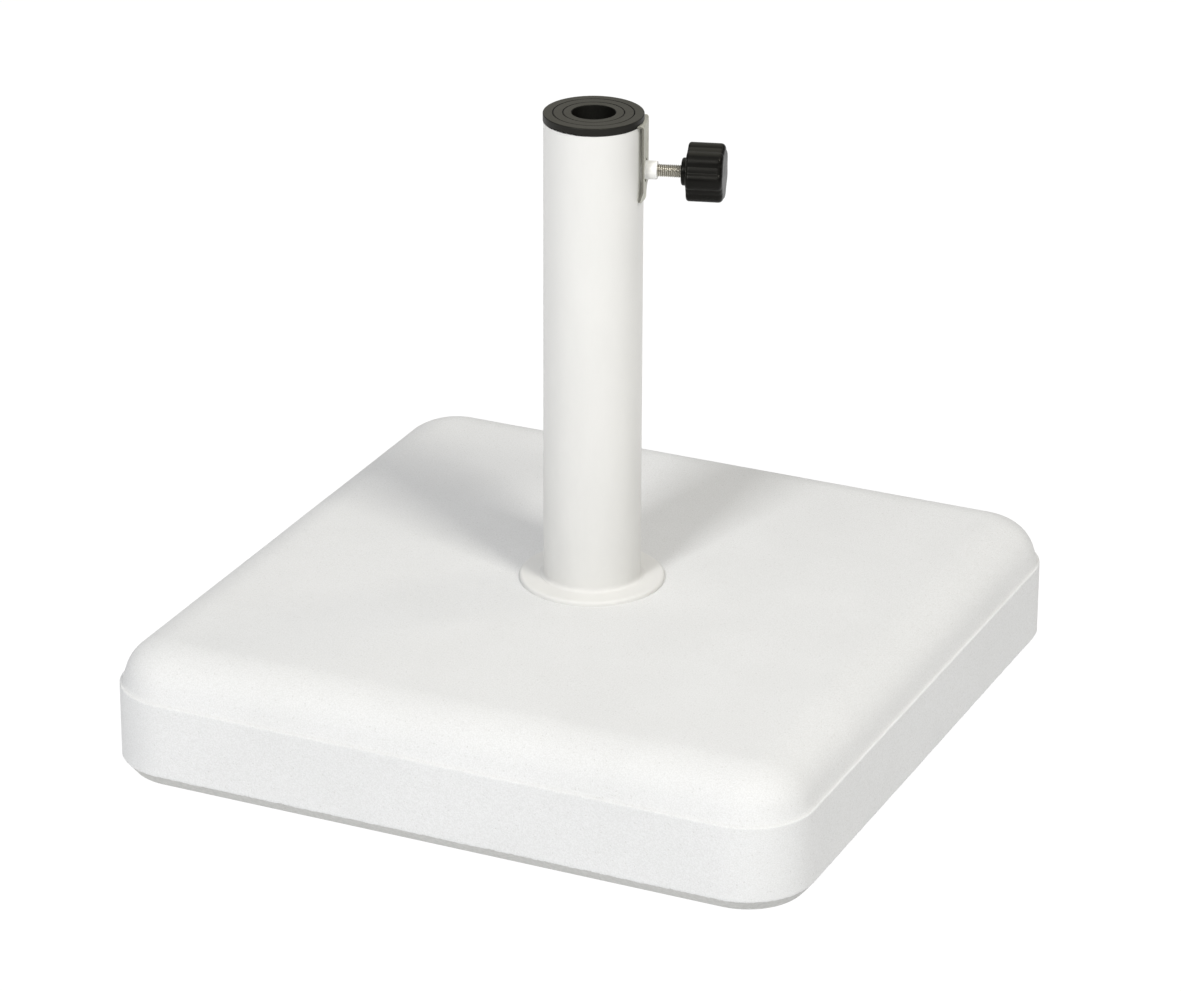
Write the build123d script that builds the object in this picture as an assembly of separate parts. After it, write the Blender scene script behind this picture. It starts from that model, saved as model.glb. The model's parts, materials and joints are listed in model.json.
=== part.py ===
from build123d import *
from math import cos, radians, sin, sqrt, tan
import os

# A parasol base. A cast concrete block carries a steel standpipe, held down by a tie bolt from below.
# A hand screw near the pipe's top clamps the pole, and three nested reducers fit thinner poles.
# Millimetres. The origin is the middle of the footprint at floor level, +Z is up, and the block's
# sides lie along X and Y.

# Block
BLOCK_SIDE = 450.0
BLOCK_TOP_Z = 84.5
BLOCK_CORNER_R = 42.0
FLOOR_GAP = 1.5
UNDERCUT_HEIGHT = 8.0
UNDERCUT_INSET = 6.6
CREASE_Z = 56.9
ARRIS_R = 1.0
SHOULDER_WIDTH = 37.0
SHOULDER_TILT = 18.0
SHOULDER_LOWER_R = 24.0
SHOULDER_UPPER_R = 44.0
SHOULDER_BLEND_TILT = 60.0

# Floor pads, set into pockets under the block
PAD_R = 19.0
PAD_THICKNESS = 4.0
PAD_OFFSET = 175.0

# Standpipe and its foot
PIPE_R = 30.0
PIPE_WALL = 2.0
PIPE_LENGTH = 297.5
PIPE_TOP_Z = BLOCK_TOP_Z + PIPE_LENGTH
PIPE_BORE_R = PIPE_R - PIPE_WALL
FOOT_FLANGE_R = 45.0
FOOT_FLANGE_THICKNESS = 3.0
FOOT_FLANGE_RIM_R = 2.0
FOOT_WELD_LEG = 2.2
FOOT_WELD_HOLLOW = 0.42
DRAIN_R = 1.8
DRAIN_ANGLE = 22.0
DRAIN_RISE = 11.0

# Tie bolt, M12, with its washers, and the plate and nut that it pulls on
TIE_R = 6.0
TIE_CLEARANCE = 0.1
TIE_HOLE_R = 7.0
TIE_HEAD_FLATS = 18.0
TIE_HEAD_HEIGHT = 7.5
TIE_NUT_HEIGHT = 10.0
TIE_END_PROUD = 2.5
WASHER_R = 18.5
WASHER_THICKNESS = 3.0
SPRING_WASHER_R = 10.5
SPRING_WASHER_THICKNESS = 2.5
SPRING_WASHER_GAP = 2.5
RECESS_R = 21.0
RECESS_DEPTH = 16.0
ANCHOR_PLATE_THICKNESS = 6.0

# Clamp: the screw lies across the pipe's axis, turned from +X and below the pipe's top
CLAMP_ANGLE = 17.0
CLAMP_DROP = 29.5
CLAMP_Z = PIPE_TOP_Z - CLAMP_DROP
STUD_R = 4.0
STUD_CLEARANCE = 0.05
BUSH_R = 5.6
BUSH_END = 38.6
BUSH_EDGE = 0.6
BUSH_WELD_WIDTH = 0.9
KNOB_HUB_FACE = 53.1

# Clip: a bent strip that hooks over the pipe's rim and hangs down outside it
CLIP_WIDTH = 24.0
CLIP_THICKNESS = 1.2
CLIP_OUTER_FACE = PIPE_R + 0.4 + CLIP_THICKNESS
CLIP_LENGTH = 47.0
CLIP_BEND_R = 1.8
CLIP_TOE = 7.0
CLIP_TOE_BOW = 2.3
CLIP_CORNER_R = 1.5
CLIP_HOLE_R = 7.3
CLIP_LIP_WIDTH = 12.0
CLIP_LIP_DEPTH = 8.0
CLIP_LIP_FACE = 27.1

# Pressure pad on the screw's tip
PRESS_PAD_BACK = 27.6
PRESS_PAD_THICKNESS = 1.5
PRESS_PAD_WIDTH = 22.0
PRESS_PAD_HEIGHT = 20.0
TIP_R = 2.5
TIP_HEAD_R = 3.8
TIP_HEAD_THICKNESS = 0.7

# Hand knob
KNOB_LOBES = 7
KNOB_LOBE_R = 7.0
KNOB_LOBE_PITCH_R = 11.0
KNOB_CORE_R = 16.5
KNOB_VALLEY_R = 2.0
KNOB_LENGTH = 22.2
KNOB_RIM_R = 3.0
KNOB_BACK_RIM_R = 1.8
KNOB_HUB_R = 8.4
KNOB_HUB_LENGTH = 3.6
KNOB_HUB_EDGE = 1.2
KNOB_TURN = 15.0
STUD_IN_KNOB = 17.0

# Reducers, each a flanged sleeve that drops into the one outside it
REDUCER_FLANGE_R = 30.3
REDUCER_FLANGE_HEIGHT = 5.1
REDUCER_SLEEVE_DEPTH = 18.0
REDUCER_GAP = 0.15
MIDDLE_FLANGE_R = 24.3
MIDDLE_FLANGE_HEIGHT = 3.0
INNER_FLANGE_R = 18.3
INNER_FLANGE_HEIGHT = 1.5
OUTER_BORE_R = 22.0
MIDDLE_BORE_R = 16.7
POLE_BORE_R = 13.2
REDUCER_EDGE_R = 0.6
SEAT_BEVEL = 0.3
POLE_LEAD_IN = 0.3
PRY_NOTCH_ANGLE = -104.0
PRY_NOTCH_WIDTH = 18.0
PRY_NOTCH_HEIGHT = 1.0
PRY_NOTCH_DEPTH = 2.2

PART_GAP = 0.3


def tube(outer_r, inner_r, low, high):
    """An upright ring on the Z axis."""
    ring = Circle(outer_r) - Circle(inner_r)
    return extrude(Pos(0, 0, low) * ring, high - low)


def rod(radius, low, high):
    """A solid upright cylinder on the Z axis."""
    return extrude(Pos(0, 0, low) * Circle(radius), high - low)


def hexagon(across_flats, low, high):
    """A hexagonal prism on the Z axis, with its corners taken off at both ends."""
    prism = extrude(Pos(0, 0, low) * RegularPolygon(across_flats / 2, 6, major_radius=False), high - low)
    corner_r = across_flats / sqrt(3)
    bevel = 0.45 * (corner_r - across_flats / 2)
    blank = chamfer(rod(corner_r, low, high).edges().filter_by(GeomType.CIRCLE), bevel, 3 * bevel)
    return prism & blank


def on_clamp_axis(shape):
    """Lays a shape built along Z, where z is the distance from the pipe's axis, onto the screw's axis."""
    return Pos(0, 0, CLAMP_Z) * Rot(0, 0, CLAMP_ANGLE) * Rot(0, 90, 0) * shape


def top_edges(shape):
    return shape.faces().sort_by(Axis.Z)[-1].edges()


def pad_places():
    return GridLocations(2 * PAD_OFFSET, 2 * PAD_OFFSET, 2, 2)


def edge_section():
    """The rim's section, from the origin out to BLOCK_CORNER_R: undercut, wall, crease, shoulder."""
    rim = BLOCK_CORNER_R
    upper = Vector(rim - SHOULDER_WIDTH, BLOCK_TOP_Z - SHOULDER_UPPER_R)
    centre_step = SHOULDER_UPPER_R - SHOULDER_LOWER_R
    lower = upper + centre_step * Vector(cos(radians(SHOULDER_BLEND_TILT)), sin(radians(SHOULDER_BLEND_TILT)))
    foot = Polyline(
        (0, BLOCK_TOP_Z),
        (0, FLOOR_GAP),
        (rim - UNDERCUT_INSET, FLOOR_GAP),
        (rim, FLOOR_GAP + UNDERCUT_HEIGHT),
        (rim, CREASE_Z - ARRIS_R),
    )
    arris = CenterArc((rim - ARRIS_R, CREASE_Z - ARRIS_R), ARRIS_R, 0, 90)
    lower_bend = CenterArc(lower, SHOULDER_LOWER_R, SHOULDER_TILT, SHOULDER_BLEND_TILT - SHOULDER_TILT)
    upper_bend = CenterArc(upper, SHOULDER_UPPER_R, SHOULDER_BLEND_TILT, 90 - SHOULDER_BLEND_TILT)
    start = lower_bend @ 0
    slope_foot = (start.X + (start.Y - CREASE_Z) * tan(radians(SHOULDER_TILT)), CREASE_Z)
    ledge = Line(arris @ 1, slope_foot)
    slope = Line(slope_foot, start)
    top = Line(upper_bend @ 1, (0, BLOCK_TOP_Z))
    return Plane.XZ * make_face([foot, arris, ledge, slope, lower_bend, upper_bend, top])


def make_base_block():
    """The cast block: a square slab whose sides and round corners share one section."""
    reach = BLOCK_SIDE / 2 - BLOCK_CORNER_R
    section = edge_section()
    side = extrude(section, 2 * reach)
    corner = revolve(section, Axis.Z, 90)
    rim = Pos(reach, reach, 0) * (side + corner)
    block = Pos(0, 0, (FLOOR_GAP + BLOCK_TOP_Z) / 2) * Box(2 * reach, 2 * reach, BLOCK_TOP_Z - FLOOR_GAP)
    for turn in range(4):
        block += Rot(0, 0, 90 * turn) * rim
    block -= rod(TIE_HOLE_R, 0, BLOCK_TOP_Z + 1)
    block -= rod(RECESS_R, 0, FLOOR_GAP + RECESS_DEPTH)
    for place in pad_places():
        block -= place * rod(PAD_R, 0, PAD_THICKNESS)
    return block


def make_floor_pads():
    """Four rubber discs that keep the concrete off the floor."""
    disc = fillet(rod(PAD_R, 0, PAD_THICKNESS).edges().sort_by(Axis.Z)[0], 0.8)
    return Compound(children=[place * disc for place in pad_places()])


def make_standpipe():
    """The steel pipe, with the hole for the clamp's bush and a small drain hole near the foot."""
    pipe = tube(PIPE_R, PIPE_BORE_R, BLOCK_TOP_Z, PIPE_TOP_Z)
    pipe -= on_clamp_axis(rod(BUSH_R, 0, PIPE_R + 5))
    drain = Pos(0, 0, BLOCK_TOP_Z + DRAIN_RISE) * Rot(0, 0, DRAIN_ANGLE) * Rot(0, 90, 0)
    pipe -= drain * rod(DRAIN_R, 0, PIPE_R + 5)
    return pipe


def make_foot_flange():
    """The flat ring round the pipe's foot, with a rounded rim."""
    ring = tube(FOOT_FLANGE_R, PIPE_R, BLOCK_TOP_Z, BLOCK_TOP_Z + FOOT_FLANGE_THICKNESS)
    rim = top_edges(ring).sort_by(SortBy.RADIUS)[-1]
    return fillet(rim, FOOT_FLANGE_RIM_R)


def make_foot_weld():
    """The hollow-faced bead that joins the pipe to its flange."""
    low = BLOCK_TOP_Z + FOOT_FLANGE_THICKNESS
    corner = (PIPE_R, 0, low)
    toe = (PIPE_R + FOOT_WELD_LEG, 0, low)
    top = (PIPE_R, 0, low + FOOT_WELD_LEG)
    throat = (PIPE_R + FOOT_WELD_HOLLOW * FOOT_WELD_LEG, 0, low + FOOT_WELD_HOLLOW * FOOT_WELD_LEG)
    outline = Line(corner, toe) + ThreePointArc(toe, throat, top) + Line(top, corner)
    return revolve(make_face(outline), Axis.Z)


def make_anchor_plate():
    """The disc welded across the pipe's foot, which the tie bolt pulls down."""
    high = BLOCK_TOP_Z + ANCHOR_PLATE_THICKNESS
    return tube(PIPE_BORE_R, TIE_R + TIE_CLEARANCE, BLOCK_TOP_Z, high)


def make_anchor_nut():
    low = BLOCK_TOP_Z + ANCHOR_PLATE_THICKNESS
    nut = hexagon(TIE_HEAD_FLATS, low, low + TIE_NUT_HEIGHT)
    return nut - rod(TIE_R + TIE_CLEARANCE, low - 1, low + TIE_NUT_HEIGHT + 1)


def washer_seat_z():
    """Where the plate washer bears, at the top of the recess under the block."""
    return FLOOR_GAP + RECESS_DEPTH


def make_plate_washer():
    high = washer_seat_z()
    return tube(WASHER_R, TIE_R + 0.4, high - WASHER_THICKNESS, high)


def make_spring_washer():
    """A split ring between the plate washer and the bolt's head."""
    high = washer_seat_z() - WASHER_THICKNESS
    ring = tube(SPRING_WASHER_R, TIE_R + 0.2, high - SPRING_WASHER_THICKNESS, high)
    split = Pos(SPRING_WASHER_R, 0, high) * Rot(25, 0, 0) * Box(2 * TIE_R, SPRING_WASHER_GAP, 20)
    return ring - split


def make_tie_bolt():
    """M12 hexagon bolt, head down in the recess and its end just through the nut."""
    head_top = washer_seat_z() - WASHER_THICKNESS - SPRING_WASHER_THICKNESS
    end = BLOCK_TOP_Z + ANCHOR_PLATE_THICKNESS + TIE_NUT_HEIGHT + TIE_END_PROUD
    head = hexagon(TIE_HEAD_FLATS, head_top - TIE_HEAD_HEIGHT, head_top)
    shank = chamfer(top_edges(rod(TIE_R, head_top, end)), 1.0)
    return head + shank


def make_clamp_bush():
    """The threaded boss that is set in the pipe's wall and stands out through the clip."""
    bush = tube(BUSH_R, STUD_R, PIPE_BORE_R, BUSH_END)
    bush = fillet(top_edges(bush).sort_by(SortBy.RADIUS)[-1], BUSH_EDGE)
    return on_clamp_axis(bush)


def make_bush_weld():
    """The bead round the bush, on the pipe's outside."""
    high = PIPE_R + BUSH_WELD_WIDTH
    bead = tube(BUSH_R + BUSH_WELD_WIDTH, BUSH_R, PIPE_R - 1.5, high)
    bead = chamfer(top_edges(bead).sort_by(SortBy.RADIUS)[-1], 0.8 * BUSH_WELD_WIDTH)
    return on_clamp_axis(bead) - rod(PIPE_R, BLOCK_TOP_Z, PIPE_TOP_Z)


def strip_section(z, bow):
    """The clip leg's section at height z, with its edges bowed in towards the pipe."""
    outer = CLIP_OUTER_FACE
    back = outer - CLIP_THICKNESS
    edge = CLIP_WIDTH / 2
    if bow:
        front = ThreePointArc((outer - bow, -edge), (outer, 0), (outer - bow, edge))
        rear = ThreePointArc((back - bow, edge), (back, 0), (back - bow, -edge))
    else:
        front = Line((outer, -edge), (outer, edge))
        rear = Line((back, edge), (back, -edge))
    sides = [Line(front @ 1, rear @ 0), Line(rear @ 1, front @ 0)]
    return Pos(0, 0, z) * make_face([front, rear, *sides])


def make_clip():
    """The strip: an outer leg whose toe wraps the pipe, a bridge over the rim, and a short inner lip."""
    back = CLIP_OUTER_FACE - CLIP_THICKNESS
    lip = CLIP_LIP_FACE - CLIP_THICKNESS
    top = PIPE_TOP_Z + CLIP_THICKNESS
    foot = PIPE_TOP_Z - CLIP_LENGTH
    knee = foot + CLIP_TOE
    leg = extrude(strip_section(knee, 0), top - knee)
    bridge = Pos((back + lip) / 2, 0, top - CLIP_THICKNESS / 2) * Box(back - lip, CLIP_WIDTH, CLIP_THICKNESS)
    outer_corner = (leg + bridge).edges().filter_by(Axis.Y).group_by(Axis.Z)[-1].sort_by(Axis.X)[-1]
    strip = fillet(outer_corner, CLIP_BEND_R)
    inner_lip = Box(CLIP_THICKNESS, CLIP_LIP_WIDTH, CLIP_LIP_DEPTH)
    strip += Pos(CLIP_LIP_FACE - CLIP_THICKNESS / 2, 0, PIPE_TOP_Z - CLIP_LIP_DEPTH / 2) * inner_lip
    strip += loft([strip_section(foot, CLIP_TOE_BOW), strip_section(knee, 0)])
    length = 2 * CLIP_LENGTH
    outline = Plane.YZ * Pos(0, foot + length / 2) * RectangleRounded(CLIP_WIDTH, length, CLIP_CORNER_R)
    strip &= extrude(outline, CLIP_OUTER_FACE + 1)
    strip = Rot(0, 0, CLAMP_ANGLE) * strip
    return strip - on_clamp_axis(rod(CLIP_HOLE_R, PIPE_R, CLIP_OUTER_FACE + 1))


def make_pressure_pad():
    """The curved plate that the screw pushes against the pole."""
    plate = tube(PRESS_PAD_BACK, PRESS_PAD_BACK - PRESS_PAD_THICKNESS, 0, PRESS_PAD_HEIGHT)
    window = Pos(PRESS_PAD_BACK, 0, PRESS_PAD_HEIGHT / 2) * Box(20, PRESS_PAD_WIDTH, 2 * PRESS_PAD_HEIGHT)
    plate = Pos(0, 0, CLAMP_Z - PRESS_PAD_HEIGHT / 2) * Rot(0, 0, CLAMP_ANGLE) * (plate & window)
    return plate - on_clamp_axis(rod(TIP_R + STUD_CLEARANCE, PIPE_BORE_R / 2, PIPE_R))


def make_clamp_stud():
    """The M8 stud: a riveted tip through the pad, the threaded length, and the end held in the knob."""
    shoulder = PRESS_PAD_BACK + STUD_CLEARANCE
    pad_face = PRESS_PAD_BACK - PRESS_PAD_THICKNESS
    tip_end = sqrt(pad_face**2 - TIP_HEAD_R**2) - 2 * STUD_CLEARANCE
    shank = rod(STUD_R - STUD_CLEARANCE, shoulder, KNOB_HUB_FACE + STUD_IN_KNOB)
    tip = rod(TIP_R, tip_end, shoulder)
    head = rod(TIP_HEAD_R, tip_end - TIP_HEAD_THICKNESS, tip_end)
    head = fillet(head.edges().sort_by(Axis.Z)[0], 0.8 * TIP_HEAD_THICKNESS)
    return on_clamp_axis(shank + tip + head)


def knob_outline():
    """Broad round lobes on a round core, with the narrow valleys between them rounded."""
    outline = Circle(KNOB_CORE_R)
    for place in PolarLocations(KNOB_LOBE_PITCH_R, KNOB_LOBES, start_angle=KNOB_TURN):
        outline += place * Circle(KNOB_LOBE_R)
    return fillet(outline.vertices(), KNOB_VALLEY_R)


def make_knob():
    """The moulded hand knob: a lobed grip on a short round hub."""
    back = KNOB_HUB_FACE + KNOB_HUB_LENGTH
    grip = extrude(Pos(0, 0, back) * knob_outline(), KNOB_LENGTH)
    grip = fillet(top_edges(grip), KNOB_RIM_R)
    grip = fillet(grip.faces().sort_by(Axis.Z)[0].edges(), KNOB_BACK_RIM_R)
    hub = rod(KNOB_HUB_R, KNOB_HUB_FACE, back + 1)
    hub = fillet(hub.edges().sort_by(Axis.Z)[0], KNOB_HUB_EDGE)
    socket = rod(STUD_R - STUD_CLEARANCE, KNOB_HUB_FACE - 1, KNOB_HUB_FACE + STUD_IN_KNOB)
    return on_clamp_axis(grip + hub - socket)


def flanged_sleeve(flange_r, flange_height, sleeve_r, bore_r):
    """One reducer on the Z axis: its flange stops level with the top of the nest."""
    top = PIPE_TOP_Z + REDUCER_FLANGE_HEIGHT
    seat = top - flange_height
    sleeve = tube(sleeve_r, bore_r, PIPE_TOP_Z - REDUCER_SLEEVE_DEPTH, seat)
    flange = tube(flange_r, bore_r, seat, top)
    rims = flange.edges().filter_by(GeomType.CIRCLE).group_by(SortBy.RADIUS)[-1]
    return fillet(rims, REDUCER_EDGE_R) + sleeve


def with_seat(body, flange_r, flange_height):
    """Sinks the counterbore that the next reducer's flange drops into, with a bevelled mouth."""
    top = PIPE_TOP_Z + REDUCER_FLANGE_HEIGHT
    body -= rod(flange_r + REDUCER_GAP, top - flange_height, top + 1)
    mouth = top_edges(body).sort_by(SortBy.RADIUS)[0]
    return chamfer(mouth, SEAT_BEVEL)


def slot_cutter(start, width, high):
    """A box from x = start outwards past the flange, and from under the sleeve up to high."""
    low = PIPE_TOP_Z - REDUCER_SLEEVE_DEPTH - 1
    reach = 2 * (REDUCER_FLANGE_R - start)
    return Pos(start + reach / 2, 0, (low + high) / 2) * Box(reach, width, high - low)


def make_outer_reducer():
    """The cap that closes the pipe: a seat for the middle reducer, room for the clip, and a pry notch."""
    sleeve_r = PIPE_BORE_R - REDUCER_GAP
    body = flanged_sleeve(REDUCER_FLANGE_R, REDUCER_FLANGE_HEIGHT, sleeve_r, OUTER_BORE_R)
    body = with_seat(body, MIDDLE_FLANGE_R, MIDDLE_FLANGE_HEIGHT)
    lip_room = CLIP_LIP_FACE - CLIP_THICKNESS - PART_GAP
    bridge_top = PIPE_TOP_Z + CLIP_THICKNESS + PART_GAP
    clip_room = slot_cutter(lip_room, CLIP_WIDTH + 2 * PART_GAP, bridge_top)
    body -= Rot(0, 0, CLAMP_ANGLE) * clip_room
    notch = Rot(0, 0, PRY_NOTCH_ANGLE) * Pos(REDUCER_FLANGE_R, 0, PIPE_TOP_Z)
    return body - notch * Box(2 * PRY_NOTCH_DEPTH, PRY_NOTCH_WIDTH, 2 * PRY_NOTCH_HEIGHT)


def make_middle_reducer():
    body = flanged_sleeve(MIDDLE_FLANGE_R, MIDDLE_FLANGE_HEIGHT, OUTER_BORE_R - REDUCER_GAP, MIDDLE_BORE_R)
    return with_seat(body, INNER_FLANGE_R, INNER_FLANGE_HEIGHT)


def make_inner_reducer():
    """The smallest reducer, with a bevelled mouth that leads the pole in."""
    body = flanged_sleeve(INNER_FLANGE_R, INNER_FLANGE_HEIGHT, MIDDLE_BORE_R - REDUCER_GAP, POLE_BORE_R)
    mouth = top_edges(body).sort_by(SortBy.RADIUS)[0]
    return chamfer(mouth, POLE_LEAD_IN)


PIECES = {
    "base_block": make_base_block,
    "floor_pads": make_floor_pads,
    "standpipe": make_standpipe,
    "foot_flange": make_foot_flange,
    "foot_weld": make_foot_weld,
    "anchor_plate": make_anchor_plate,
    "anchor_nut": make_anchor_nut,
    "plate_washer": make_plate_washer,
    "spring_washer": make_spring_washer,
    "tie_bolt": make_tie_bolt,
    "clamp_bush": make_clamp_bush,
    "bush_weld": make_bush_weld,
    "clip": make_clip,
    "pressure_pad": make_pressure_pad,
    "clamp_stud": make_clamp_stud,
    "knob": make_knob,
    "outer_reducer": make_outer_reducer,
    "middle_reducer": make_middle_reducer,
    "inner_reducer": make_inner_reducer,
}

os.makedirs("parts", exist_ok=True)
for name, make in PIECES.items():
    export_step(make(), f"parts/{name}.step")
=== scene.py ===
import json
import math

import bmesh
import bpy
from mathutils import Matrix, Vector, noise


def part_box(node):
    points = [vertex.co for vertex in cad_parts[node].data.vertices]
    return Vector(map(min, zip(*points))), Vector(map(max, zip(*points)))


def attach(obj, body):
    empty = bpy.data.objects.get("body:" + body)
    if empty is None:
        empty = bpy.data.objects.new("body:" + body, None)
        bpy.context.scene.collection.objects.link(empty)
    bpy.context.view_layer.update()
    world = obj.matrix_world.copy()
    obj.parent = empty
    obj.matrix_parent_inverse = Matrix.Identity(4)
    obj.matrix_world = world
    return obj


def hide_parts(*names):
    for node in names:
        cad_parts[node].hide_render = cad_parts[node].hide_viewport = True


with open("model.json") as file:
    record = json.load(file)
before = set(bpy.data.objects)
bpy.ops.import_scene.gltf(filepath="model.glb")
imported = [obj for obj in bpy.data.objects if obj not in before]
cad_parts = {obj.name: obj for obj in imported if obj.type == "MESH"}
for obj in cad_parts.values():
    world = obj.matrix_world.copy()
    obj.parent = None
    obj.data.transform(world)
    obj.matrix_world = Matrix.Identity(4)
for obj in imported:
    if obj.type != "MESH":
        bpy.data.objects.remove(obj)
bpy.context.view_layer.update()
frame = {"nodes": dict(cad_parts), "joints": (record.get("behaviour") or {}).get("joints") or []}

MM = 0.001
BLOCK_LOW, BLOCK_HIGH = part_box("base_block")
FLANGE_LOW, FLANGE_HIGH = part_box("foot_flange")
BUSH_LOW, BUSH_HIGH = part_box("clamp_bush")
SCREW = next(j for j in frame["joints"] if j["name"] == "screw_turn")


def aimed_along(direction):
    """The turn that points an object's Z axis along direction."""
    return direction.to_track_quat("Z", "Y").to_matrix().to_4x4()


# The block's section, as in the CAD
CORNER_R = 42 * MM
UNDERCUT_HEIGHT = 8 * MM
UNDERCUT_INSET = 6.6 * MM
CREASE_Z = 56.9 * MM
ARRIS_R = 1.0 * MM
SHOULDER_WIDTH = 37 * MM
SHOULDER_TILT = 18
SHOULDER_LOWER_R = 24 * MM
SHOULDER_UPPER_R = 44 * MM
SHOULDER_BLEND_TILT = 60
RECESS_R = 21 * MM
RECESS_DEPTH = 16 * MM

# The cast surface's unevenness: depth, and features per metre
BROAD_SWELL = 0.09 * MM, 14
FINE_SWELL = 0.03 * MM, 70
RAGGED_FOOT = 0.20 * MM, 190
SWELL_LIMIT = 0.35 * MM

# The block's mesh
SIDE_STEPS = 64
CORNER_STEPS = 14
UNDERSIDE_RINGS = 14
TOP_RINGS = 26
TOP_CENTRE_R = 20 * MM

# The pipe and the screw; distances along the screw are from the pipe's axis
PIPE_R = 30 * MM
STUD_R = 3.95 * MM
STUD_TIP = 25.1 * MM
STUD_TIP_PROFILE = (1.2, 0.0), (2.6, 0.05), (3.5, 0.3), (3.7, 0.6)
STUD_NECK_R = 2.5 * MM
THREAD_START = 27.65 * MM
THREAD_PITCH = 1.25 * MM
THREAD_DEPTH = 0.62 * MM
THREAD_RUNOUT = 1.5 * MM
RINGS_PER_PITCH = 10
STUD_STEPS = 36
CLAMP_OUT = -Vector(SCREW["axis"]).normalized()
CLAMP_ACROSS = CLAMP_OUT.cross(Vector((0, 0, 1)))
CLAMP_FRAME = Matrix.Translation(Vector(SCREW["pos_m"])) @ aimed_along(CLAMP_OUT)

# The weld beads: steps round them, and the angles at which their faces are drawn
FOOT_BEAD_STEPS = 220
HOLLOW_ANGLES = 0.25, 0.55, 0.85, 1.15, 1.4
BUSH_BEAD_STEPS = 72
ROUND_ANGLES = 0.3, 0.7, 1.1, 1.45

# The stage
FLOOR_HALF = 9
FLOOR_DROP = 0.1 * MM
FLOOR_GLOW = 0.98
AIM_HEIGHT = 0.15
LAMP_DISTANCE = 4.5
CEILING_GLOW = 0.70
WALL_TOWARD = -0.39, 0.84, 0.37
WALL_GLOW = 0.42
AMBIENT = 0.05

# Where the photograph was taken from, in degrees and metres, and its lens on a 36 mm wide frame
CAMERA_AZIMUTH, CAMERA_TILT, CAMERA_ROLL = 24.668, 23.521, 0.194
CAMERA_PLACE = Vector((1.1736, -2.5580, 1.3624 + BLOCK_LOW.z))
FRAME_WIDTH = 36.0
LENS = 152.6


# ---------------------------------------------------------------- materials


def node(mat, kind, inputs=None, **props):
    """Adds a shader node; an input given as another node's output is linked."""
    n = mat.node_tree.nodes.new("ShaderNode" + kind)
    for key, value in props.items():
        setattr(n, key, value)
    for key, value in (inputs or {}).items():
        if isinstance(value, bpy.types.NodeSocket):
            mat.node_tree.links.new(value, n.inputs[key])
        else:
            n.inputs[key].default_value = value
    return n


def surface(name, roughness, metallic=0.0, specular=0.5):
    """A new material, its main shader, and its object coordinates in metres."""
    mat = bpy.data.materials.new(name)
    mat.use_nodes = True
    shader = mat.node_tree.nodes["Principled BSDF"]
    shader.inputs["Roughness"].default_value = roughness
    shader.inputs["Metallic"].default_value = metallic
    shader.inputs["Specular IOR Level"].default_value = specular
    return mat, shader, node(mat, "TexCoord").outputs["Object"]


def grain(mat, where, scale, detail=2.0, roughness=0.5, squeeze=None):
    """A noise field; scale is in features per metre, squeeze stretches it along the axes."""
    if squeeze:
        where = node(mat, "Mapping", {"Vector": where, "Scale": squeeze}).outputs[0]
    inputs = {"Vector": where, "Scale": scale, "Detail": detail, "Roughness": roughness}
    return node(mat, "TexNoise", inputs).outputs[0]


def ranged(mat, value, low, high, to_low=0.0, to_high=1.0):
    """Maps low..high to to_low..to_high, clamped."""
    values = {"Value": value, "From Min": low, "From Max": high, "To Min": to_low, "To Max": to_high}
    return node(mat, "MapRange", values).outputs[0]


def blended(mat, factor, a, b):
    """Colour a where factor is 0 and colour b where it is 1; each is a socket or a constant."""
    n = node(mat, "Mix", data_type="RGBA", blend_type="MIX")
    for index, value in ((0, factor), (6, a), (7, b)):
        if isinstance(value, bpy.types.NodeSocket):
            mat.node_tree.links.new(value, n.inputs[index])
        elif index:
            n.inputs[index].default_value = (*value, 1.0)
        else:
            n.inputs[index].default_value = value
    return n.outputs[2]


def math_node(mat, operation, a, b=0.0):
    return node(mat, "Math", {0: a, 1: b}, operation=operation).outputs[0]


def scaled(mat, value, factor):
    return math_node(mat, "MULTIPLY", value, factor)


def drive(mat, shader, socket, value):
    """Links a varying value or colour to one of the shader's sockets."""
    mat.node_tree.links.new(value, shader.inputs[socket])


def relief(mat, shader, height, depth, strength):
    """Bumps the surface by a height field of 0 to 1 that stands for depth metres."""
    inputs = {"Height": height, "Distance": depth, "Strength": strength}
    drive(mat, shader, "Normal", node(mat, "Bump", inputs).outputs[0])


def pin_holes(mat, where, scale, share):
    """Small round dots, 1 inside and 0 outside; share is how many of the grid's cells have none."""
    cells = node(mat, "TexVoronoi", {"Vector": where, "Scale": scale}, feature="F1")
    picked = node(mat, "SeparateColor", {"Color": cells.outputs["Color"]}).outputs[0]
    dots = ranged(mat, cells.outputs["Distance"], 0.30, 0.12)
    return math_node(mat, "MULTIPLY", dots, ranged(mat, picked, share, share + 0.04))


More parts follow.
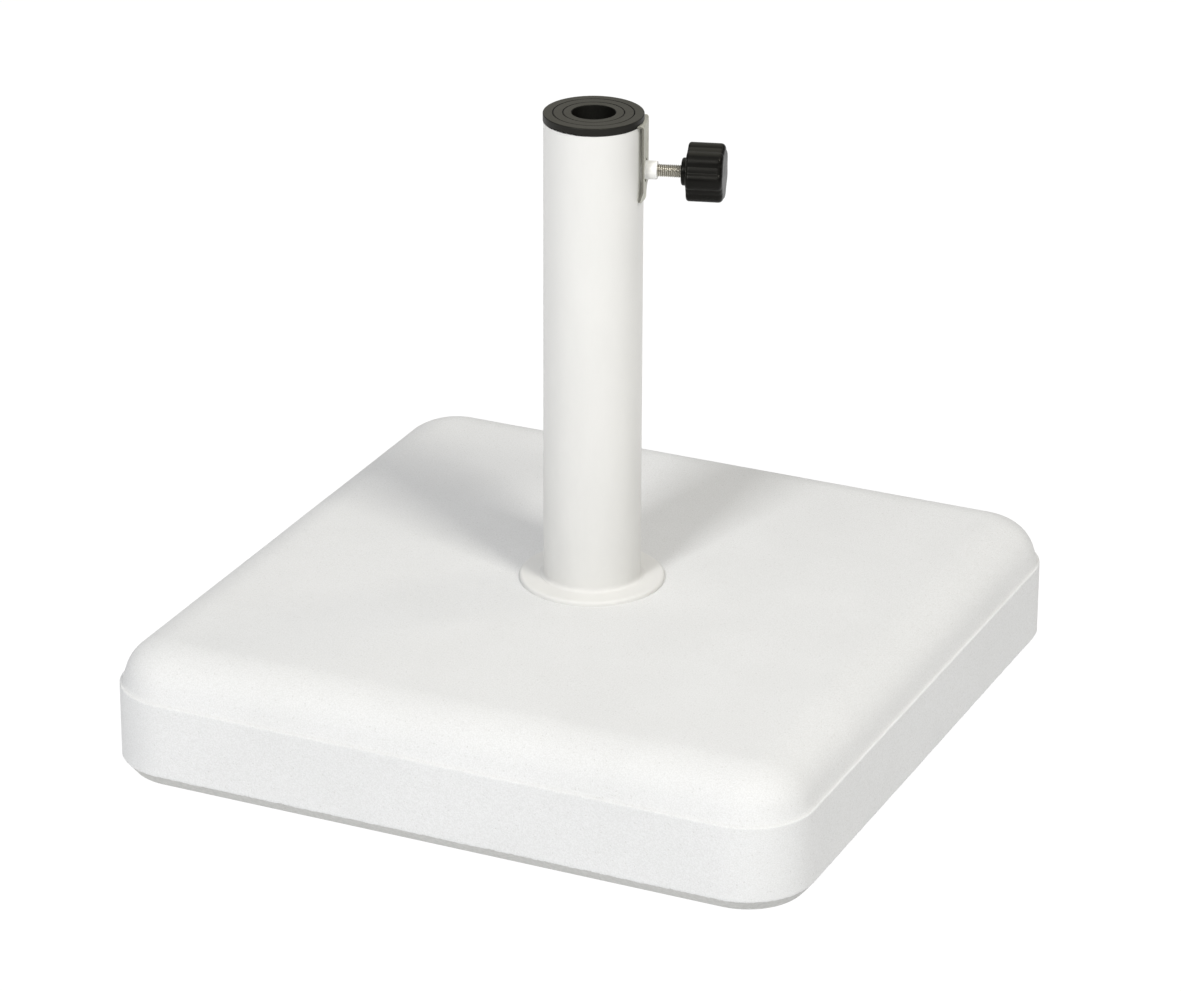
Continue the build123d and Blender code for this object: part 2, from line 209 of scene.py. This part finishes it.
def painted_concrete():
    """White paint over cast concrete, worn to raw grey at the foot, with pin holes and a sandy grain."""
    mat, shader, where = surface("painted_concrete", 0.85, specular=0.2)
    sand = grain(mat, where, 1300.0, 3.0, 0.6)
    lumps = grain(mat, where, 420.0, 2.0)
    cloud = grain(mat, where, 14.0, 3.0)
    holes = pin_holes(mat, where, 520.0, 0.80)
    height = math_node(mat, "ADD", scaled(mat, sand, 0.55), scaled(mat, lumps, 0.45))
    height = math_node(mat, "SUBTRACT", height, scaled(mat, holes, 0.5))
    relief(mat, shader, height, 0.42 * MM, 0.6)
    dull_white, clean_white = (0.789, 0.795, 0.800), (0.813, 0.819, 0.825)
    sand_shadow, hole_shadow = (0.50, 0.50, 0.48), (0.40, 0.39, 0.37)
    dark_raw, light_raw = (0.50, 0.50, 0.485), (0.58, 0.58, 0.565)
    paint = blended(mat, ranged(mat, cloud, 0.35, 0.65), dull_white, clean_white)
    paint = blended(mat, ranged(mat, sand, 0.38, 0.62, 0.24, 0.0), paint, sand_shadow)
    paint = blended(mat, scaled(mat, holes, 0.22), paint, hole_shadow)
    aggregate = grain(mat, where, 420.0, 4.0, 0.7)
    raw = blended(mat, ranged(mat, aggregate, 0.35, 0.65), dark_raw, light_raw)
    z = node(mat, "SeparateXYZ", {"Vector": where}).outputs[2]
    ragged = math_node(mat, "SUBTRACT", grain(mat, where, 220.0, 4.0, 0.65, squeeze=(1, 1, 0.4)), 0.5)
    edge = math_node(mat, "ADD", z, scaled(mat, ragged, 3.0 * MM))
    foot = BLOCK_LOW.z + UNDERCUT_HEIGHT
    painted = ranged(mat, edge, foot - 0.4 * MM, foot + 0.1 * MM)
    drive(mat, shader, "Base Color", blended(mat, painted, raw, paint))
    return mat


def powder_coat(name, tone):
    """Satin white powder coat with a faint orange-peel skin and soft handling marks."""
    mat, shader, where = surface(name, 0.42, specular=0.2)
    peel = grain(mat, where, 520.0, 2.0)
    marks = grain(mat, where, 34.0, 4.0, 0.6, squeeze=(1, 1, 0.35))
    relief(mat, shader, peel, 0.05 * MM, 0.5)
    tint = blended(mat, ranged(mat, marks, 0.38, 0.66), [0.97 * t for t in tone], tone)
    drive(mat, shader, "Base Color", tint)
    drive(mat, shader, "Roughness", ranged(mat, marks, 0.3, 0.7, 0.36, 0.5))
    return mat


def zinc(name, light, dark, roughness, metallic, painted_gap_shade=None):
    """Dull zinc plate: crystal-like clouding, fine rolling lines, and, when a colour is given, painted shade
    on the edge faces that look across the screw, standing for the gap beside the pipe.
    """
    mat, shader, where = surface(name, roughness, metallic)
    cells = node(mat, "TexVoronoi", {"Vector": where, "Scale": 420.0}, feature="F1")
    tone = node(mat, "SeparateColor", {"Color": cells.outputs["Color"]}).outputs[0]
    cloud = grain(mat, where, 90.0, 4.0, 0.6)
    lines = grain(mat, where, 300.0, 2.0, squeeze=(9, 9, 0.3))
    mix = math_node(mat, "ADD", scaled(mat, tone, 0.3), scaled(mat, cloud, 0.7))
    plate = blended(mat, ranged(mat, mix, 0.3, 0.7), dark, light)
    # Faces turned across the screw take a dark colour: painted shade of the gap between the clip and the
    # pipe.
    if painted_gap_shade:
        facing = node(mat, "TexCoord").outputs["Normal"]
        across = node(mat, "VectorMath", {0: facing, 1: CLAMP_ACROSS}, operation="DOT_PRODUCT")
        edge = ranged(mat, math_node(mat, "ABSOLUTE", across.outputs["Value"]), 0.75, 0.95)
        plate = blended(mat, edge, plate, painted_gap_shade)
    drive(mat, shader, "Base Color", plate)
    drive(mat, shader, "Roughness", ranged(mat, cloud, 0.3, 0.7, roughness - 0.08, roughness + 0.1))
    relief(mat, shader, lines, 0.03 * MM, 0.6)
    return mat


def rolled_thread():
    """Even zinc on the rolled thread: the roots are coloured darker than the worn crests as painted shade in
    the thread's hollows, and are rougher.
    """
    mat, shader, where = surface("thread_zinc", 0.34, 0.95)
    out = node(mat, "VectorMath", {0: where, 1: SCREW["pos_m"]}, operation="SUBTRACT").outputs[0]
    along = node(mat, "VectorMath", {0: out, 1: CLAMP_OUT}, operation="DOT_PRODUCT").outputs["Value"]
    axial = node(mat, "VectorMath", {0: CLAMP_OUT, "Scale": along}, operation="SCALE").outputs[0]
    radial = node(mat, "VectorMath", {0: out, 1: axial}, operation="SUBTRACT").outputs[0]
    radius = node(mat, "VectorMath", {0: radial}, operation="LENGTH").outputs["Value"]
    crest_vs_shaded_root = ranged(mat, radius, STUD_R - THREAD_DEPTH, STUD_R - 0.05 * MM)
    cloud = ranged(mat, grain(mat, where, 120.0, 3.0), 0.35, 0.65, 0.92, 1.0)
    # The dark root colour is painted shade in the thread's hollows; the pale crest colour is the zinc itself.
    metal = blended(mat, crest_vs_shaded_root, (0.26, 0.24, 0.20), (0.74, 0.72, 0.65))
    tinted = node(mat, "VectorMath", {0: metal, "Scale": cloud}, operation="SCALE").outputs[0]
    drive(mat, shader, "Base Color", tinted)
    drive(mat, shader, "Roughness", ranged(mat, crest_vs_shaded_root, 0.0, 1.0, 0.55, 0.34))
    relief(mat, shader, grain(mat, where, 2600.0, 1.0), 0.01 * MM, 0.4)
    return mat


def black_moulding(name, tone, roughness, gloss, dust, grain_depth):
    """Black moulded plastic: spark-eroded grain, faint flow marks, scuffs, and dust together with painted
    light from above where it faces up.
    """
    mat, shader, where = surface(name, roughness, specular=gloss)
    shader.inputs["Specular Tint"].default_value = (1.0, 0.985, 0.89, 1)
    up = node(mat, "SeparateXYZ", {"Vector": node(mat, "TexCoord").outputs["Normal"]}).outputs[2]
    fine = grain(mat, where, 1500.0, 2.0)
    flow = grain(mat, where, 60.0, 4.0, 0.6)
    scuff = ranged(mat, grain(mat, where, 210.0, 6.0, 0.75), 0.60, 0.74)
    base = blended(mat, ranged(mat, flow, 0.35, 0.65), [0.82 * t for t in tone], [1.15 * t for t in tone])
    dust_and_top_light_colour, scuff_colour = (0.098, 0.094, 0.074), (0.05, 0.05, 0.045)
    # Faces turned up are made paler: dust together with painted light from above.
    base = blended(mat, scaled(mat, ranged(mat, up, 0.80, 0.98), dust), base, dust_and_top_light_colour)
    drive(mat, shader, "Base Color", blended(mat, scaled(mat, scuff, 0.16), base, scuff_colour))
    drive(mat, shader, "Roughness", ranged(mat, flow, 0.3, 0.7, roughness - 0.05, roughness + 0.07))
    relief(mat, shader, fine, grain_depth, 0.6)
    return mat


def rubber():
    """Matt black rubber, patchy with dust."""
    mat, shader, where = surface("pad_rubber", 0.85, specular=0.3)
    fine = grain(mat, where, 700.0, 3.0)
    dust = ranged(mat, grain(mat, where, 120.0, 4.0, 0.7), 0.45, 0.7)
    clean, dusty = (0.022, 0.022, 0.022), (0.11, 0.105, 0.095)
    drive(mat, shader, "Base Color", blended(mat, scaled(mat, dust, 0.35), clean, dusty))
    relief(mat, shader, fine, 0.12 * MM, 0.7)
    return mat


CONCRETE = painted_concrete()
PAINT = powder_coat("powder_coat", (0.790, 0.788, 0.772))
# The boss gets a paler copy of the pipe's powder coat: a painted highlight for the front light it faces.
BUSH_PAINT_WITH_PAINTED_HIGHLIGHT = powder_coat("bush_coat_painted_highlight", (0.90, 0.90, 0.885))
# The clip's dark edge colour is painted shade of the gap beside the pipe.
CLIP_ZINC = zinc(
    "clip_zinc", (0.58, 0.575, 0.505), (0.48, 0.475, 0.415), 0.55, 0.3, painted_gap_shade=(0.17, 0.165, 0.14)
)
BOLT_ZINC = zinc("bolt_zinc", (0.56, 0.54, 0.48), (0.48, 0.46, 0.41), 0.33, 0.95)
THREAD_ZINC = rolled_thread()
CAP_BLACK = black_moulding("cap_black", (0.008, 0.0078, 0.0068), 0.50, 0.26, 0.48, 0.05 * MM)
KNOB_BLACK = black_moulding("knob_black", (0.0045, 0.0043, 0.0040), 0.34, 0.13, 0.20, 0.05 * MM)
RUBBER = rubber()

LOOKS = {
    "standpipe": PAINT,
    "foot_flange": PAINT,
    "clamp_bush": BUSH_PAINT_WITH_PAINTED_HIGHLIGHT,
    "clip": CLIP_ZINC,
    "anchor_plate": BOLT_ZINC,
    "anchor_nut": BOLT_ZINC,
    "plate_washer": BOLT_ZINC,
    "spring_washer": BOLT_ZINC,
    "tie_bolt": BOLT_ZINC,
    "pressure_pad": BOLT_ZINC,
    "knob": KNOB_BLACK,
    "outer_reducer": CAP_BLACK,
    "middle_reducer": CAP_BLACK,
    "inner_reducer": CAP_BLACK,
    "floor_pads": RUBBER,
}
for name, look in LOOKS.items():
    materials = frame["nodes"][name].data.materials
    if not materials:
        materials.append(look)
    for index in range(len(materials)):
        materials[index] = look


# ---------------------------------------------------------------- mesh pieces


def piece(name, verts, faces, look, body, slot, stands_for):
    """A new smooth-shaded mesh object that rides a body in place of a CAD node."""
    mesh = bpy.data.meshes.new(name)
    mesh.from_pydata(verts, [], faces)
    bm = bmesh.new()
    bm.from_mesh(mesh)
    bmesh.ops.recalc_face_normals(bm, faces=bm.faces)
    bm.to_mesh(mesh)
    bm.free()
    mesh.shade_smooth()
    mesh.materials.append(look)
    obj = bpy.data.objects.new(name, mesh)
    bpy.context.scene.collection.objects.link(obj)
    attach(obj, body)
    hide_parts(stands_for)
    return obj


def loft(rings, closed=False):
    """Vertices and faces through rings of equal length; the ends are capped unless closed joins them."""
    count = len(rings[0])
    verts = [p for ring in rings for p in ring]
    faces = []
    for i in range(len(rings) - (0 if closed else 1)):
        a, b = i * count, (i + 1) % len(rings) * count
        faces += [(a + k, a + (k + 1) % count, b + (k + 1) % count, b + k) for k in range(count)]
    if not closed:
        faces += [tuple(reversed(range(count))), tuple(range(len(verts) - count, len(verts)))]
    return verts, faces


def square_ring(half, radius, z):
    """A rounded square, with the same number of points whatever its size."""
    reach = half - radius
    ring = []
    for k in range(4):
        turn = Matrix.Rotation(math.radians(90 * k), 4, "Z")
        for i in range(CORNER_STEPS + 1):
            angle = math.radians(90) * i / CORNER_STEPS
            x, y = reach + radius * math.cos(angle), reach + radius * math.sin(angle)
            ring.append(turn @ Vector((x, y, z)))
        for i in range(1, SIDE_STEPS):
            x = reach - 2 * reach * i / SIDE_STEPS
            ring.append(turn @ Vector((x, half, z)))
    return ring


def circle_like(ring, radius, z):
    """The points of ring thrown on to a circle about the Z axis."""
    return [Vector((p.x, p.y, 0)).normalized() * radius + Vector((0, 0, z)) for p in ring]


def morph(a, b, t):
    """The ring that lies the share t of the way from ring a to ring b."""
    return [p.lerp(q, t) for p, q in zip(a, b)]


def arc(cx, cz, radius, start, end, steps):
    """(x, z) points of an arc, angles in degrees."""
    angles = [math.radians(start + (end - start) * i / steps) for i in range(steps + 1)]
    return [(cx + radius * math.cos(t), cz + radius * math.sin(t)) for t in angles]


def evenly(a, b, steps):
    """The points between a and b that divide the line into equal steps."""
    return [(a[0] + (b[0] - a[0]) * i / steps, a[1] + (b[1] - a[1]) * i / steps) for i in range(1, steps)]


def block_section():
    """(inset from the side, z) from the foot to the edge of the flat top."""
    low, top = BLOCK_LOW.z, BLOCK_HIGH.z
    blend = math.radians(SHOULDER_BLEND_TILT)
    step = SHOULDER_UPPER_R - SHOULDER_LOWER_R
    upper = (-SHOULDER_WIDTH, top - SHOULDER_UPPER_R)
    lower = (upper[0] + step * math.cos(blend), upper[1] + step * math.sin(blend))
    lower_bend = arc(*lower, SHOULDER_LOWER_R, SHOULDER_TILT, SHOULDER_BLEND_TILT, 12)
    start = lower_bend[0]
    slope_foot = (start[0] + (start[1] - CREASE_Z) * math.tan(math.radians(SHOULDER_TILT)), CREASE_Z)
    foot, knee = (-UNDERCUT_INSET, low), (0.0, low + UNDERCUT_HEIGHT)
    wall_low, wall_high = (0.0, knee[1] + 1.2 * MM), (0.0, CREASE_Z - ARRIS_R - 1.2 * MM)
    line = [foot, *evenly(foot, knee, 5), knee, wall_low, *evenly(wall_low, wall_high, 9), wall_high]
    line += arc(-ARRIS_R, CREASE_Z - ARRIS_R, ARRIS_R, 0, 90, 5)
    line += [slope_foot, *evenly(slope_foot, start, 4), *lower_bend]
    line += arc(*upper, SHOULDER_UPPER_R, SHOULDER_BLEND_TILT, 90, 9)[1:]
    return [(-x, z) for x, z in line]


def uneven(point, depth, per_metre):
    return depth * noise.noise(point * per_metre)


def make_block():
    """The cast block: swept section, gently uneven as moulded concrete is, with the bolt's recess beneath."""
    half = (BLOCK_HIGH.x - BLOCK_LOW.x) / 2
    section = block_section()
    foot = square_ring(half - section[0][0], CORNER_R - section[0][0], section[0][1])
    mouth = circle_like(foot, RECESS_R, foot[0].z)
    ceiling = foot[0].z + RECESS_DEPTH
    rings = [circle_like(foot, 0.2 * RECESS_R, ceiling), circle_like(foot, RECESS_R, ceiling)]
    rings += [circle_like(foot, RECESS_R, foot[0].z + 0.5 * MM)]
    rings += [morph(mouth, foot, (i / UNDERSIDE_RINGS) ** 1.1) for i in range(UNDERSIDE_RINGS)]
    rings += [square_ring(half - inset, CORNER_R - inset, z) for inset, z in section]
    rim = rings[-1]
    middle = circle_like(rim, TOP_CENTRE_R, rim[0].z)
    rings += [morph(rim, middle, i / TOP_RINGS) for i in range(1, TOP_RINGS + 1)]
    block = piece("concrete_block", *loft(rings), CONCRETE, "base", "white_concrete", "base_block")
    under_flange = FLANGE_HIGH.x + 3 * MM
    moves = []
    for v in block.data.vertices:
        p = v.co
        swell = uneven(p, *BROAD_SWELL) + uneven(p, *FINE_SWELL)
        if p.z < BLOCK_LOW.z + UNDERCUT_HEIGHT + 0.5 * MM:
            swell += uneven(p, *RAGGED_FOOT)
        if math.hypot(p.x, p.y) < under_flange or p.z < BLOCK_LOW.z + 0.2 * MM:
            swell = 0.0
        moves.append(v.normal * min(swell, SWELL_LIMIT))
    for v, move in zip(block.data.vertices, moves):
        v.co += move


def make_stud():
    """The screw: a rounded tip on a plain neck, then the rolled thread into the knob."""
    low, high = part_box("clamp_stud")
    corners = [Vector((x, y, 0)) for x in (low.x, high.x) for y in (low.y, high.y)]
    end = max(c.dot(CLAMP_OUT) for c in corners) - THREAD_RUNOUT
    root = STUD_R - THREAD_DEPTH
    rings = []

    def ring(radius, z, threaded=False):
        points = []
        for k in range(STUD_STEPS):
            angle = 2 * math.pi * k / STUD_STEPS
            r = radius
            if threaded:
                phase = ((z / THREAD_PITCH) - k / STUD_STEPS) % 1.0
                tooth = min(phase, 1 - phase) * 2
                r = radius - THREAD_DEPTH * (1 - min(1.0, max(0.0, (tooth - 0.08) / 0.80)))
            points.append(CLAMP_FRAME @ Vector((r * math.cos(angle), r * math.sin(angle), z)))
        rings.append(points)

    for r, z in STUD_TIP_PROFILE:
        ring(r * MM, STUD_TIP + z * MM)
    ring(STUD_NECK_R, STUD_TIP + 0.62 * MM)
    ring(STUD_NECK_R, THREAD_START)
    ring(root, THREAD_START + 0.02 * MM)
    steps = int((end - THREAD_START) / (THREAD_PITCH / RINGS_PER_PITCH))
    for i in range(1, steps):
        ring(STUD_R, THREAD_START + (end - THREAD_START) * i / steps, threaded=True)
    ring(root, end)
    piece("threaded_stud", *loft(rings), THREAD_ZINC, "clamp_screw", "zinc_steel", "clamp_stud")


def make_foot_bead():
    """The bead round the pipe's foot: hollow-faced, with the faint ripple a weld leaves."""
    low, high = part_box("foot_weld")
    leg = high.z - low.z
    inside, under = PIPE_R - 0.15 * MM, FLANGE_HIGH.z - 0.1 * MM
    rings = []
    for k in range(FOOT_BEAD_STEPS):
        angle = 2 * math.pi * k / FOOT_BEAD_STEPS
        out = Vector((math.cos(angle), math.sin(angle), 0))
        size = leg * (1 + 0.10 * noise.noise(out * 9) + 0.05 * math.sin(74 * angle))
        toe, crown = PIPE_R + size, FLANGE_HIGH.z + size
        profile = [(inside, under), (toe, under), (toe, under + 0.12 * MM)]
        profile += [(toe - size * math.sin(t), crown - size * math.cos(t)) for t in HOLLOW_ANGLES]
        profile += [(PIPE_R + 0.02 * MM, crown), (inside, crown)]
        rings.append([out * x + Vector((0, 0, y)) for x, y in profile])
    piece("foot_bead", *loft(rings, closed=True), PAINT, "base", "white_paint", "foot_weld")


def make_bush_bead():
    """The lumpy bead where the boss meets the pipe."""
    rings = []
    inner = (BUSH_HIGH.z - BUSH_LOW.z) / 2 - 0.05 * MM
    for k in range(BUSH_BEAD_STEPS):
        angle = 2 * math.pi * k / BUSH_BEAD_STEPS
        out = Vector((math.cos(angle), math.sin(angle), 0))
        width = (1.0 + 0.22 * noise.noise(out * 5) + 0.10 * math.sin(17 * angle)) * MM
        wall = math.sqrt(PIPE_R**2 - (math.sin(angle) * (inner + 0.5 * width)) ** 2)
        profile = [(inner, wall - 0.4 * MM), (inner, wall + width)]
        profile += [(inner + width * math.sin(t), wall + width * math.cos(t)) for t in ROUND_ANGLES]
        profile += [(inner + width, wall - 0.4 * MM)]
        rings.append([CLAMP_FRAME @ (out * x + Vector((0, 0, y))) for x, y in profile])
    piece("bush_bead", *loft(rings, closed=True), PAINT, "base", "white_paint", "bush_weld")


make_block()
make_stud()
make_foot_bead()
make_bush_bead()


# ---------------------------------------------------------------- stage


def make_floor():
    """A plain floor, pale by its own light, a hair below the rubber pads so as not to share their plane."""
    mesh = bpy.data.meshes.new("floor")
    corners = [(x * FLOOR_HALF, y * FLOOR_HALF, -FLOOR_DROP) for x, y in ((-1, -1), (1, -1), (1, 1), (-1, 1))]
    mesh.from_pydata(corners, [], [(0, 1, 2, 3)])
    mat, shader, _ = surface("floor_white", 0.9, specular=0.1)
    shader.inputs["Base Color"].default_value = (0.06, 0.06, 0.06, 1)
    shader.inputs["Emission Color"].default_value = (1, 1, 1, 1)
    shader.inputs["Emission Strength"].default_value = FLOOR_GLOW
    mesh.materials.append(mat)
    floor = bpy.data.objects.new("floor", mesh)
    bpy.context.scene.collection.objects.link(floor)


def add_light(name, azimuth, elevation, size, watts, colour=(1, 1, 1)):
    """A square softbox aimed at a point in the pipe; its angles are in degrees."""
    data = bpy.data.lights.new(name, "AREA")
    data.size = size
    data.energy = watts
    data.color = colour
    lamp = bpy.data.objects.new(name, data)
    a, e = math.radians(azimuth), math.radians(elevation)
    out = Vector((math.cos(a) * math.cos(e), math.sin(a) * math.cos(e), math.sin(e)))
    place = out * LAMP_DISTANCE + Vector((0, 0, AIM_HEIGHT))
    lamp.matrix_world = Matrix.Translation(place) @ aimed_along(out)
    bpy.context.scene.collection.objects.link(lamp)


def make_lights():
    """Two softboxes, a low fill, a small lamp behind, a glow overhead and a pale wall behind."""
    add_light("key_right", -27, 52, 0.9, 85, (1.0, 0.973, 0.905))
    add_light("key_front", -96, 39, 0.9, 95)
    add_light("fill", -50, 10, 0.9, 11)
    add_light("rim_back", 47, 48, 0.6, 12, (1.0, 0.94, 0.84))
    world = bpy.data.worlds.new("studio")
    world.use_nodes = True
    toward = node(world, "TexCoord").outputs["Generated"]
    height = node(world, "SeparateXYZ", {"Vector": toward}).outputs[2]
    ceiling = math_node(world, "POWER", math_node(world, "MAXIMUM", height, 0.0), 4.0)
    behind = node(world, "VectorMath", {0: toward, 1: WALL_TOWARD}, operation="DOT_PRODUCT")
    wall = ranged(world, behind.outputs["Value"], 0.60, 0.95, 0.0, WALL_GLOW)
    glow = math_node(world, "ADD", scaled(world, ceiling, CEILING_GLOW), wall)
    sky = world.node_tree.nodes["Background"].inputs
    sky["Color"].default_value = (1, 1, 1, 1)
    world.node_tree.links.new(math_node(world, "ADD", glow, AMBIENT), sky["Strength"])
    bpy.context.scene.world = world


def make_camera():
    """Stands where the photograph was taken from, and looks along its azimuth, tilt and roll."""
    azimuth, tilt, roll = (math.radians(a) for a in (CAMERA_AZIMUTH, CAMERA_TILT, CAMERA_ROLL))
    data = bpy.data.cameras.new("camera")
    data.sensor_width = FRAME_WIDTH
    data.lens = LENS
    data.clip_end = 50.0
    camera = bpy.data.objects.new("camera", data)
    ahead = Vector((-math.sin(azimuth) * math.cos(tilt), math.cos(azimuth) * math.cos(tilt), -math.sin(tilt)))
    level = Vector((math.cos(azimuth), math.sin(azimuth), 0))
    up = level.cross(ahead)
    right = math.cos(roll) * level + math.sin(roll) * up
    up = -math.sin(roll) * level + math.cos(roll) * up
    turn = Matrix((right, up, -ahead)).transposed().to_4x4()
    camera.matrix_world = Matrix.Translation(CAMERA_PLACE) @ turn
    bpy.context.scene.collection.objects.link(camera)
    bpy.context.scene.camera = camera


make_floor()
make_lights()
make_camera()
bpy.context.scene.view_settings.view_transform = "Standard"
